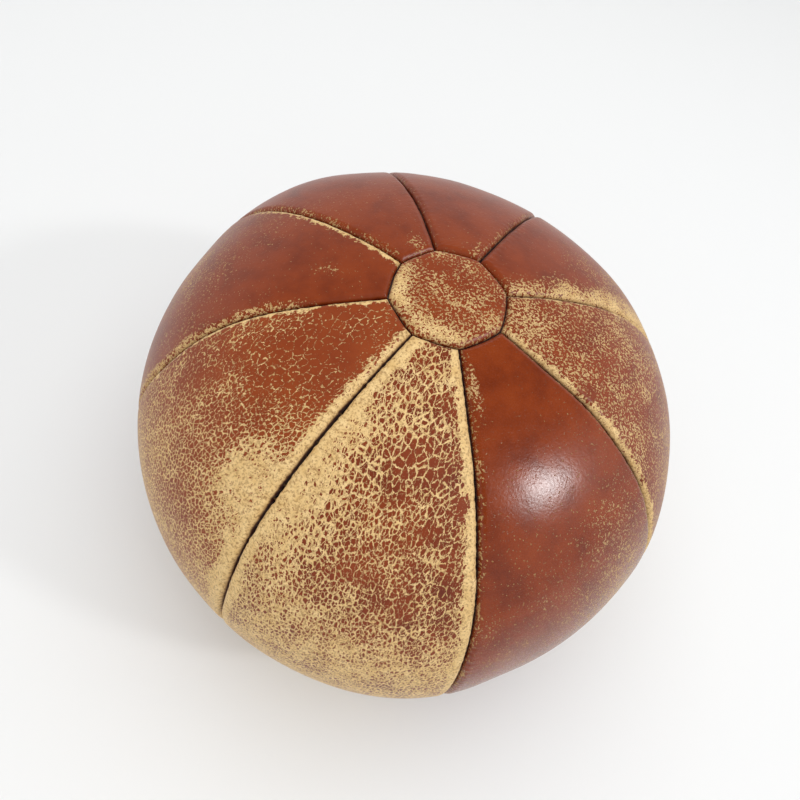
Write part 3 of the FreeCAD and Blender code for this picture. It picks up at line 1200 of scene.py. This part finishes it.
@dataclass(frozen=True)
class WornHide:
    """Vegetable-tanned cowhide with a sprayed and waxed pigment finish, old and cracked.

    The red-brown finish lies on the tan hide as a thin hard film. Flexing cracks it into small
    plates, rubbing takes the plates off, and what is left of it still shines a little while the
    bare hide is dull.

    The plates come in three sizes, each cracked into the next. The real grain is too fine to
    show, so grain is drawn as coarse as it needs to be for the film to glisten.
    """

    film: str = "#7c2f05"
    film_dark: str = "#581a01"
    film_light: str = "#8c3c0c"
    bare: str = "#d1ac6f"
    bare_light: str = "#e4c58d"
    bare_stained: str = "#7c5224"
    # the colour of the painted shade in the seams' grooves and puckers
    painted_shade_tint: str = "#541408"
    dust: str = "#f4ebe6"
    plates: tuple[float, float, float] = (3.4 * MM, 2.0 * MM, 1.15 * MM)
    fleck: float = 0.7 * MM
    flecks_per_wave: float = 0.62
    fleck_share: float = 0.26
    shake: float = 2.8 * MM
    shake_length: float = 2.6 * MM
    drift: float = 0.24
    drift_length: float = 13 * MM
    cloud: float = 14 * MM
    stain: float = 6 * MM
    grain: float = 1.4 * MM
    grain_rise: float = 0.075 * MM
    wave: float = 4.5 * MM
    wave_rise: float = 0.03 * MM
    film_rise: float = 0.05 * MM
    crack_depth: float = 0.04 * MM
    dull_film: float = 0.46
    bright_film: float = 0.265
    bare_rough: float = 0.66

    def material(self) -> bpy.types.Material:
        """Build the material from the marks on the hide, its lay and the object's coordinates.

        Returns:
            The finished material.
        """
        material, tree = new_material("worn_waxed_cowhide")
        place = add(tree, "TexCoord").outputs["Object"]
        lay = add(tree, "Attribute", attribute_name="lay").outputs["Vector"]
        mark = {
            name: add(tree, "Attribute", attribute_name=name).outputs["Fac"]
            for name in ("wear", "crackle", "fineness", "polish", "tone", "seam_shade")
        }
        flecks = add(tree, "TexNoise", {
            "Vector": place, "Scale": self.flecks_per_wave / self.fleck, "Detail": 3.0, "Roughness": 0.6})
        spread = add(tree, "MapRange", {"Value": flecks, "From Min": 0.3, "From Max": 0.68}).outputs[0]
        hold = self.hold(tree, self.shaken(tree, lay), mark, spread)
        above = self.above(tree, place, mark, hold)
        film = add(tree, "MapRange", {
            "Value": above, "From Min": -0.05, "From Max": 0.05}, interpolation_type="SMOOTHSTEP").outputs[0]

        mixed = add(tree, "MixRGB", {"Fac": film, "Color1": self.bare_colour(tree, place, spread),
            "Color2": self.film_colour(tree, place, mark, above)})
        # Painted shade: the grooves of the seams and the puckers are darkened towards a dark maroon.
        with_shade = add(tree, "MixRGB", {
            "Fac": mark["seam_shade"], "Color1": mixed, "Color2": linear(self.painted_shade_tint)})
        shiny = add(tree, "MapRange", {
            "Value": mark["polish"], "To Min": self.dull_film, "To Max": self.bright_film})
        rubbed = add(tree, "Math", {0: flecks, 1: 0.16, 2: -0.08}, operation="MULTIPLY_ADD")
        film_rough = add(tree, "Math", {0: shiny, 1: rubbed}, operation="ADD")
        rough = add(tree, "Mix", {0: film, 2: self.bare_rough, 3: film_rough})
        bump = add(tree, "Bump", {
            "Height": self.relief(tree, place, film, hold), "Strength": 1.0, "Distance": 1.0})
        shader = add(tree, "BsdfPrincipled", {
            "Base Color": with_shade, "Roughness": rough, "Normal": bump, "IOR": 1.5,
            "Specular IOR Level": 0.3,
            "Sheen Weight": 0.17, "Sheen Roughness": 0.3, "Sheen Tint": linear(self.dust)})
        add(tree, "OutputMaterial", {"Surface": shader})
        return material

    def shaken(self, tree: Tree, lay: Socket) -> Socket:
        """The hide's own coordinates, nudged so that cracks are ragged and never quite straight.

        Args:
            tree: The material's node tree.
            lay: The hide's own coordinates.

        Returns:
            The nudged coordinates.
        """
        fine = add(tree, "TexNoise", {
            "Vector": lay, "Scale": 1 / self.shake_length, "Detail": 3.0, "Roughness": 0.65})
        centred = add(tree, "VectorMath", {
            0: fine.outputs["Color"], 1: (0.5, 0.5, 0.5)}, operation="SUBTRACT")
        nudge = add(tree, "VectorMath", {0: centred, "Scale": self.shake}, operation="SCALE")
        return add(tree, "VectorMath", {0: lay, 1: nudge}, operation="ADD").outputs[0]

    def firmness(self, tree: Tree, lay: Socket, size: float) -> Socket:
        """How firmly plates of one size hold: 0 on their cracks, rising inside, uneven by plate.

        The rise is 1 - (1 - 2 d) squared for a distance d from the crack, in plates, so that the
        share of a panel under any value is about that value.

        Args:
            tree: The material's node tree.
            lay: The hide's own coordinates.
            size: The plates' size.

        Returns:
            The firmness, 0 to about 1.3.
        """
        edge = add(tree, "TexVoronoi", {
            "Vector": lay, "Scale": 1 / size}, feature="DISTANCE_TO_EDGE", voronoi_dimensions="2D")
        cell = add(tree, "TexVoronoi", {
            "Vector": lay, "Scale": 1 / size}, feature="F1", voronoi_dimensions="2D")
        chance = add(tree, "SeparateColor", {0: cell.outputs["Color"]})
        outer = add(tree, "MapRange", {
            "Value": edge.outputs["Distance"], "From Max": 0.5, "To Min": 1.0, "To Max": 0.0})
        square = add(tree, "Math", {0: outer, 1: outer}, operation="MULTIPLY")
        inside = add(tree, "Math", {0: 1.0, 1: square}, operation="SUBTRACT")
        firm = add(tree, "MapRange", {"Value": chance, "To Min": 0.62, "To Max": 1.3})
        return add(tree, "Math", {0: inside, 1: firm}, operation="MULTIPLY").outputs[0]

    def hold(self, tree: Tree, lay: Socket, mark: dict, flecks: Socket) -> Socket:
        """How firmly the film holds everywhere: plates cracked into smaller plates, and flecks.

        Args:
            tree: The material's node tree.
            lay: The hide's own coordinates.
            mark: The marks on the hide by name.
            flecks: Fine noise, 0 to 1.

        Returns:
            The firmness, 0 to about 1.
        """
        sizes = [self.firmness(tree, lay, size) for size in self.plates]
        pairs = []
        for large, small in zip(sizes[:-1], sizes[1:]):
            later = add(tree, "Math", {0: small, 1: 0.9, 2: 0.33}, operation="MULTIPLY_ADD")
            pairs.append(add(tree, "Math", {0: large, 1: later}, operation="MINIMUM"))
        sized = add(tree, "Mix", {0: mark["fineness"], 2: pairs[0], 3: pairs[1]})
        ragged = add(tree, "Mix", {0: self.fleck_share, 2: sized, 3: flecks})
        return add(tree, "Mix", {0: mark["crackle"], 2: flecks, 3: ragged}).outputs[0]

    def above(self, tree: Tree, place: Socket, mark: dict, hold: Socket) -> Socket:
        """How much better the film holds than the wear takes: it is gone where this is under 0.

        Args:
            tree: The material's node tree.
            place: The object's coordinates.
            mark: The marks on the hide by name.
            hold: How firmly the film holds.

        Returns:
            The difference, positive where there is film.
        """
        broad = add(tree, "TexNoise", {
            "Vector": place, "Scale": 1 / self.drift_length, "Detail": 3.0, "Roughness": 0.55})
        drift = add(tree, "Math", {0: broad, 1: self.drift, 2: -self.drift / 2}, operation="MULTIPLY_ADD")
        more = add(tree, "Math", {0: mark["wear"], 1: 3.2}, operation="MULTIPLY")
        gate = add(tree, "Math", {0: more, 1: 1.0}, operation="MINIMUM")
        worn = add(tree, "Math", {0: drift, 1: gate, 2: mark["wear"]}, operation="MULTIPLY_ADD")
        return add(tree, "Math", {0: hold, 1: worn}, operation="SUBTRACT").outputs[0]

    def film_colour(self, tree: Tree, place: Socket, mark: dict, above: Socket) -> Socket:
        """Red-brown pigment, uneven over the panel and darker where a plate's edge has lifted.

        Args:
            tree: The material's node tree.
            place: The object's coordinates.
            mark: The marks on the hide by name.
            above: How much better the film holds than the wear takes.

        Returns:
            The colour.
        """
        cloud = add(tree, "TexNoise", {
            "Vector": place, "Scale": 1 / self.cloud, "Detail": 4.0, "Roughness": 0.6})
        shade = add(tree, "Math", {0: mark["tone"], 1: 0.6, 2: cloud}, operation="MULTIPLY_ADD")
        ramp = add(tree, "ValToRGB", {0: shade})
        stops = ramp.color_ramp.elements
        stops[0].position, stops[0].color = 0.05, linear(self.film_dark)
        stops[1].position, stops[1].color = 1.0, linear(self.film_light)
        middle = stops.new(0.5)
        middle.color = linear(self.film)
        rim = add(tree, "MapRange", {
            "Value": above, "From Min": 0.0, "From Max": 0.14, "To Min": 0.45, "To Max": 0.0})
        made = add(tree, "MixRGB", {"Fac": rim, "Color1": ramp, "Color2": linear(self.film_dark)})
        return made.outputs[0]

    def bare_colour(self, tree: Tree, place: Socket, flecks: Socket) -> Socket:
        """Bare tan hide with paler rubbed places and brown stains in its pores.

        Args:
            tree: The material's node tree.
            place: The object's coordinates.
            flecks: Fine noise, 0 to 1.

        Returns:
            The colour.
        """
        cloud = add(tree, "TexNoise", {
            "Vector": place, "Scale": 1 / self.stain, "Detail": 4.0, "Roughness": 0.7})
        ramp = add(tree, "ValToRGB", {0: cloud})
        stops = ramp.color_ramp.elements
        stops[0].position, stops[0].color = 0.3, linear(self.bare)
        stops[1].position, stops[1].color = 0.7, linear(self.bare_light)
        pores = add(tree, "MapRange", {
            "Value": flecks, "From Min": 0.1, "From Max": 0.6, "To Min": 0.7, "To Max": 0.0})
        made = add(tree, "MixRGB", {"Fac": pores, "Color1": ramp, "Color2": linear(self.bare_stained)})
        return made.outputs[0]

    def relief(self, tree: Tree, place: Socket, film: Socket, hold: Socket) -> Socket:
        """Height in metres: the film's thickness, cracks in it, the grain's pebbling and its pores.

        Args:
            tree: The material's node tree.
            place: The object's coordinates.
            film: 1 where there is film and 0 where the hide is bare.
            hold: How firmly the film holds.

        Returns:
            The height.
        """
        grain = add(tree, "TexNoise", {
            "Vector": place, "Scale": 1 / self.grain, "Detail": 3.0, "Roughness": 0.6})
        waves = add(tree, "TexNoise", {
            "Vector": place, "Scale": 1 / self.wave, "Detail": 2.0, "Roughness": 0.5})
        creased = add(tree, "MapRange", {
            "Value": hold, "From Max": 0.25, "To Min": -self.crack_depth, "To Max": 0.0})
        film_part = add(tree, "Math", {
            0: film, 1: self.film_rise, 2: creased}, operation="MULTIPLY_ADD")
        with_grain = add(tree, "Math", {
            0: grain, 1: self.grain_rise, 2: film_part}, operation="MULTIPLY_ADD")
        height = add(tree, "Math", {
            0: waves, 1: self.wave_rise, 2: with_grain}, operation="MULTIPLY_ADD")
        return height.outputs[0]


@dataclass(frozen=True)
class WovenOrPacked:
    """A dull fibrous finish for a hidden layer: plain weave, waxed thread, hair or felt."""

    name: str
    colour: str
    shade: str
    spacing: float
    stretch: tuple[float, float, float] = (1.0, 1.0, 1.0)
    rough: float = 0.85
    relief: float = 0.1 * MM

    def material(self) -> bpy.types.Material:
        """Build the material from noise at the fibres' spacing.

        Returns:
            The finished material.
        """
        material, tree = new_material(self.name)
        place = add(tree, "TexCoord").outputs["Object"]
        drawn = add(tree, "VectorMath", {0: place, 1: self.stretch}, operation="MULTIPLY")
        fibres = add(tree, "TexNoise", {"Vector": drawn, "Scale": 1 / self.spacing, "Detail": 3.0})
        colour = add(tree, "MixRGB", {
            "Fac": fibres.outputs[0], "Color1": linear(self.shade), "Color2": linear(self.colour)})
        height = add(tree, "Math", {0: fibres, 1: self.relief}, operation="MULTIPLY")
        bump = add(tree, "Bump", {"Height": height, "Distance": 1.0})
        shader = add(tree, "BsdfPrincipled", {
            "Base Color": colour, "Roughness": self.rough, "Normal": bump})
        add(tree, "OutputMaterial", {"Surface": shader})
        return material


HIDDEN_FINISHES: dict[str, WovenOrPacked] = {
    "canvas": WovenOrPacked("undyed_cotton_canvas", "#c9b58c", "#8f7c58", 0.6 * MM),
    "thread": WovenOrPacked("waxed_linen_thread", "#7a5a34", "#4a3018", 0.3 * MM, rough=0.55),
    "closing_lace": WovenOrPacked("rolled_rawhide_lace", "#5c3a1e", "#38200f", 0.5 * MM, rough=0.5),
    "hair_filling": WovenOrPacked("packed_curled_hair", "#4a3422", "#22150c", 1.2 * MM, (1, 1, 4)),
    "packed_core": WovenOrPacked("bound_rag_felt", "#7d7060", "#4e4438", 3.0 * MM),
}


# ---- The studio -----------------------------------------------------------------------------

@dataclass(frozen=True)
class Studio:
    """A pale floor, soft light from all round, three soft lamps, and the camera."""

    ball_centre: Vector
    ball_radius: float
    spin: float = -0.04
    tilt: float = 31.84
    roll: float = -18.14
    distance: float = 2.742
    aside: float = 0.0084286
    below: float = 0.0262857
    sensor: float = 36.0
    lens: float = 31.5
    wall_light: float = 1.05
    ceiling_light: float = 0.06
    paper: str = "#ebecec"
    paper_light: str = "#eff0f0"
    overhead_far: float = 1.6
    overhead_size: tuple[float, float] = (2.2, 2.2)
    overhead_power: float = 30.0
    window_way: tuple[float, float, float] = (0.77, -0.11, 0.63)
    window_far: float = 3.5
    window_size: tuple[float, float] = (0.31, 0.3)
    window_power: float = 20.0
    glint_far: float = 3.45
    glint_size: tuple[float, float] = (0.48, 0.46)
    glint_power: float = 58.0

    def camera_turn(self) -> Matrix:
        """The turn from the ball's axes to the camera's, as a 3 by 3 matrix.

        Returns:
            The turn.
        """
        tilt = math.radians(self.tilt)
        lean = Matrix((
            (1, 0, 0),
            (0, math.cos(tilt), math.sin(tilt)),
            (0, -math.sin(tilt), math.cos(tilt)),
        ))
        roll = Matrix.Rotation(math.radians(self.roll), 3, "Z")
        spin = Matrix.Rotation(math.radians(self.spin), 3, "Z")
        return roll @ lean @ spin

    def camera(self) -> None:
        """Put the camera so that the ball's centre is just off the middle of its view."""
        turn = self.camera_turn().transposed()
        way = Vector((self.aside, -self.below, -1.0)).normalized()
        place = self.ball_centre - turn @ (way * self.distance * self.ball_radius)
        data = bpy.data.cameras.new("camera")
        data.sensor_width = self.sensor
        data.lens = self.lens
        data.clip_start = 0.01
        made = bpy.data.objects.new("camera", data)
        made.matrix_world = Matrix.Translation(place) @ turn.to_4x4()
        bpy.context.scene.collection.objects.link(made)
        bpy.context.scene.camera = made

    def floor(self) -> None:
        """A wide pale floor."""
        corners = np.array([[-4, -4, 0], [4, -4, 0], [4, 4, 0], [-4, 4, 0]], dtype=float)
        made = surface("studio_floor", corners, np.array([[0, 1, 2, 3]]), {})
        material, tree = new_material("matt_white_paper")
        paper = add(tree, "TexNoise", {"Scale": 3.0, "Detail": 2.0})
        tint = add(tree, "MixRGB", {
            "Fac": paper.outputs[0], "Color1": linear(self.paper), "Color2": linear(self.paper_light)})
        shader = add(tree, "BsdfPrincipled", {"Base Color": tint, "Roughness": 0.9})
        add(tree, "OutputMaterial", {"Surface": shader})
        made.data.materials.append(material)

    def lamp(self, name: str, toward: Vector, far: float, size: tuple[float, float],
             power: float, shows: bool = True, lights: bool = True) -> None:
        """A soft rectangular lamp that faces the ball's centre.

        Args:
            name: The lamp's name.
            toward: The way from the ball's centre to the lamp.
            far: How far away it is.
            size: Its width and height.
            power: Its power in watts.
            shows: Whether it shows in reflections.
            lights: Whether it lights what is dull.
        """
        data = bpy.data.lights.new(name, "AREA")
        data.shape = "RECTANGLE"
        data.size, data.size_y = size
        data.energy = power
        made = bpy.data.objects.new(name, data)
        made.location = self.ball_centre + toward.normalized() * far
        made.rotation_euler = (-toward).to_track_quat("-Z", "Y").to_euler()
        made.visible_glossy = shows
        made.visible_diffuse = lights
        bpy.context.scene.collection.objects.link(made)

    def room(self) -> None:
        """Light from all round: bright near the floor, where pale walls stand, and dim above."""
        world = bpy.data.worlds.new("soft_room")
        world.use_nodes = True
        tree = world.node_tree
        way = add(tree, "TexCoord").outputs["Generated"]
        parts = add(tree, "SeparateXYZ", {0: way})
        strength = add(tree, "MapRange", {
            "Value": parts.outputs["Z"], "From Min": 0.3, "From Max": 0.85,
            "To Min": self.wall_light, "To Max": self.ceiling_light}, interpolation_type="SMOOTHSTEP")
        background = tree.nodes["Background"]
        background.inputs["Color"].default_value = (1.0, 1.0, 1.0, 1.0)
        tree.links.new(strength.outputs[0], background.inputs["Strength"])
        bpy.context.scene.world = world

    def light(self) -> None:
        """The room, a broad light overhead that leaves no reflection, and a soft window.

        The glint stands in front of the window and shows in reflections only.
        """
        self.room()
        up, way = Vector((0.0, 0.0, 1.0)), Vector(self.window_way)
        self.lamp("overhead", up, self.overhead_far, self.overhead_size, self.overhead_power, shows=False)
        self.lamp("window", way, self.window_far, self.window_size, self.window_power)
        self.lamp("glint", way, self.glint_far, self.glint_size, self.glint_power, lights=False)
        bpy.context.scene.view_settings.view_transform = "Standard"

    def build(self) -> None:
        """Make the floor, the light and the camera."""
        self.camera()
        self.floor()
        self.light()


# ---- The whole ball -------------------------------------------------------------------------

@dataclass
class Cover:
    """The leather cover: gores and caps on one outline."""

    hide: Hide
    stuffing: Stuffing = field(default_factory=Stuffing)

    @classmethod
    def from_frame(cls) -> "Cover":
        """Read the ball's size, its seams and its caps from the CAD nodes.

        Returns:
            The cover, ready to build.
        """
        low, high = CAD_BOX
        outline = Outline((high[0] - low[0]) / 2, high[2])
        seams = []
        for number in range(1, 9):
            x, y, _ = node_points(f"seam_thread_{number}").mean(axis=0)
            longitude = math.atan2(y, x) % (2 * math.pi)
            seams.append(Seam(longitude, number, parting=PARTINGS.get(number, Seam.parting)))
        edges = {}
        for end in End:
            corners = node_points(f"leather_cap_{end.value}")
            radius = float(np.hypot(corners[:, 0], corners[:, 1]).max())
            edges[end] = CapEdge(radius, tuple(seam.longitude for seam in seams))
        return cls(Hide(outline, seams, edges))

    def build(self) -> None:
        """Make every piece of hide and let each stand for its CAD node."""
        hide = self.hide
        gores = []
        for number in range(1, 9):
            first = hide.seams[number - 1]
            last = hide.seams[number % 8]
            if last.longitude < first.longitude:
                last = replace(last, longitude=last.longitude + 2 * math.pi)
            gores.append(Gore(number, hide, first, last, GORE_LOOKS[number]))
        caps = [EndCap(end, hide, CAP_LOOKS[end]) for end in End]
        swells = self.swells(gores, caps)
        material = WornHide().material()
        for piece, swell in zip(gores + caps, swells):
            mesh = piece.build(swell)
            mesh.data.materials.append(material)
            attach(mesh, "root")
            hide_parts(piece.name.replace("hide_", "leather_"))
            LOG.info("%s: %d faces", piece.name, len(mesh.data.polygons))

    def swells(self, gores: list[Gore], caps: list[EndCap]) -> list[Array]:
        """The swell of every gore and cap, from one simulation of all of them.

        Args:
            gores: The side panels.
            caps: The end caps.

        Returns:
            One grid for each gore, and one row for each cap.
        """
        outline = self.hide.outline
        grids = [piece.coarse() for piece in gores + caps]
        closed = [False] * len(gores) + [True] * len(caps)
        normals = []
        for grid in grids:
            reach = np.hypot(grid[..., 0], grid[..., 1])
            away = grid - np.array([0.0, 0.0, outline.equator_height])
            away[..., :2] *= (0.55 + 0.45 * reach / outline.equator_radius)[..., None]
            normals.append(away / np.linalg.norm(away, axis=-1)[..., None])
        swells = self.stuffing.swell(grids, closed, normals, self.hide.swell)
        rings = [swell.mean(axis=1) for swell in swells[len(gores):]]
        return swells[:len(gores)] + rings


def dress_hidden_layers() -> None:
    """Give the CAD's lining, threads, filling and core their finishes."""
    for word, finish in HIDDEN_FINISHES.items():
        material = finish.material()
        for name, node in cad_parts.items():
            if word in name:
                node.data.materials.clear()
                node.data.materials.append(material)


def main() -> None:
    """Build the studio and the ball in order."""
    logging.basicConfig(level=logging.INFO)
    cover = Cover.from_frame()
    outline = cover.hide.outline
    Studio(Vector((0.0, 0.0, outline.equator_height)), outline.equator_radius).build()
    cover.build()
    dress_hidden_layers()


if __name__ == "__main__":
    main()
